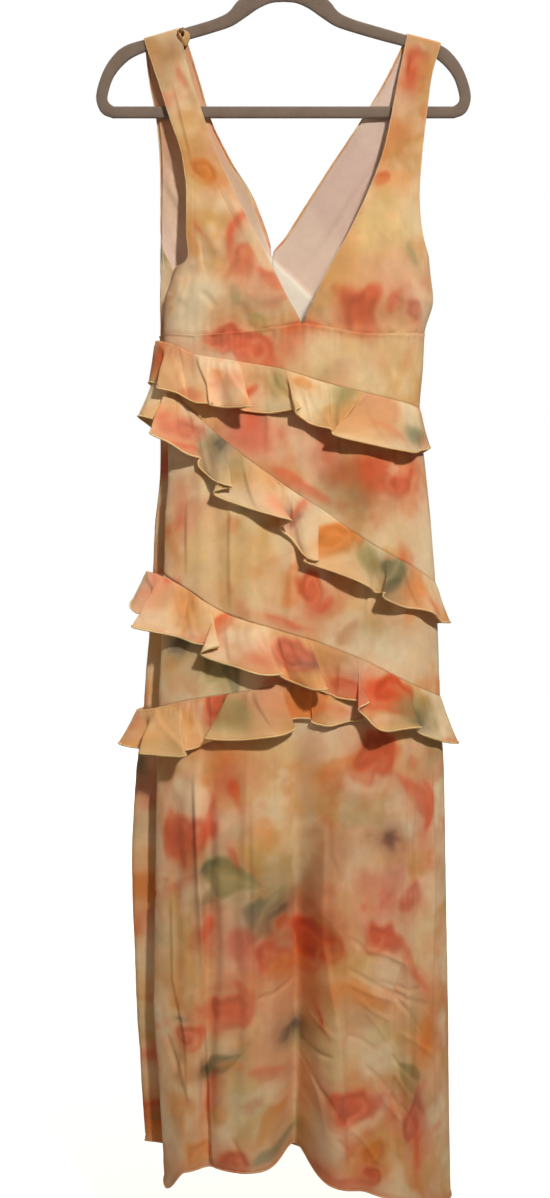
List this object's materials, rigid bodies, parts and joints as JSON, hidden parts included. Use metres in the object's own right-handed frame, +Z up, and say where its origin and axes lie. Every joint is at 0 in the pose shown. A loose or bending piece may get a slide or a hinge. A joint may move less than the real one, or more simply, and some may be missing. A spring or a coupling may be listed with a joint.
{
  "type": "maxi dress",
  "caption": "Sleeveless V-neck maxi dress in a printed floral chiffon, with diagonal ruffles and a long column skirt, hung by its straps on a slim hanger.",
  "frame": {"origin": "inside top of the hook, where it rests on a rail", "axes": "+Z up, -Y is the front of the dress, +X is to the right seen from the front"},
  "size_m": [0.4456, 0.1566, 1.5276],
  "materials": {
    "print_cloth": "matte, blurred floral print",
    "ruffle_cloth": "matte, blurred floral print, rolled hem",
    "lining_cloth": "matte",
    "hanger_flock": "short velvet flock",
    "hook_steel": "bright"
  },
  "bodies": {
    "root": {"bodice_front_left": "print_cloth", "bodice_front_right": "print_cloth", "bodice_back_left": "print_cloth", "bodice_back_right": "print_cloth", "lining_back_left": "lining_cloth", "lining_back_right": "lining_cloth", "midriff_front": "print_cloth", "midriff_back": "print_cloth", "upper_panel_front": "print_cloth", "upper_panel_back": "print_cloth", "middle_panel_front": "print_cloth", "middle_panel_back": "print_cloth", "gore_front": "print_cloth", "gore_back": "print_cloth", "skirt_front": "print_cloth", "skirt_back": "print_cloth", "ruffle_1_front": "ruffle_cloth", "ruffle_1_back": "ruffle_cloth", "ruffle_2_front": "ruffle_cloth", "ruffle_2_back": "ruffle_cloth", "ruffle_3_front": "ruffle_cloth", "ruffle_3_back": "ruffle_cloth", "ruffle_4_front": "ruffle_cloth", "ruffle_4_back": "ruffle_cloth", "hanger": "hanger_flock", "hook": "hook_steel"}
  },
  "joints": []
}
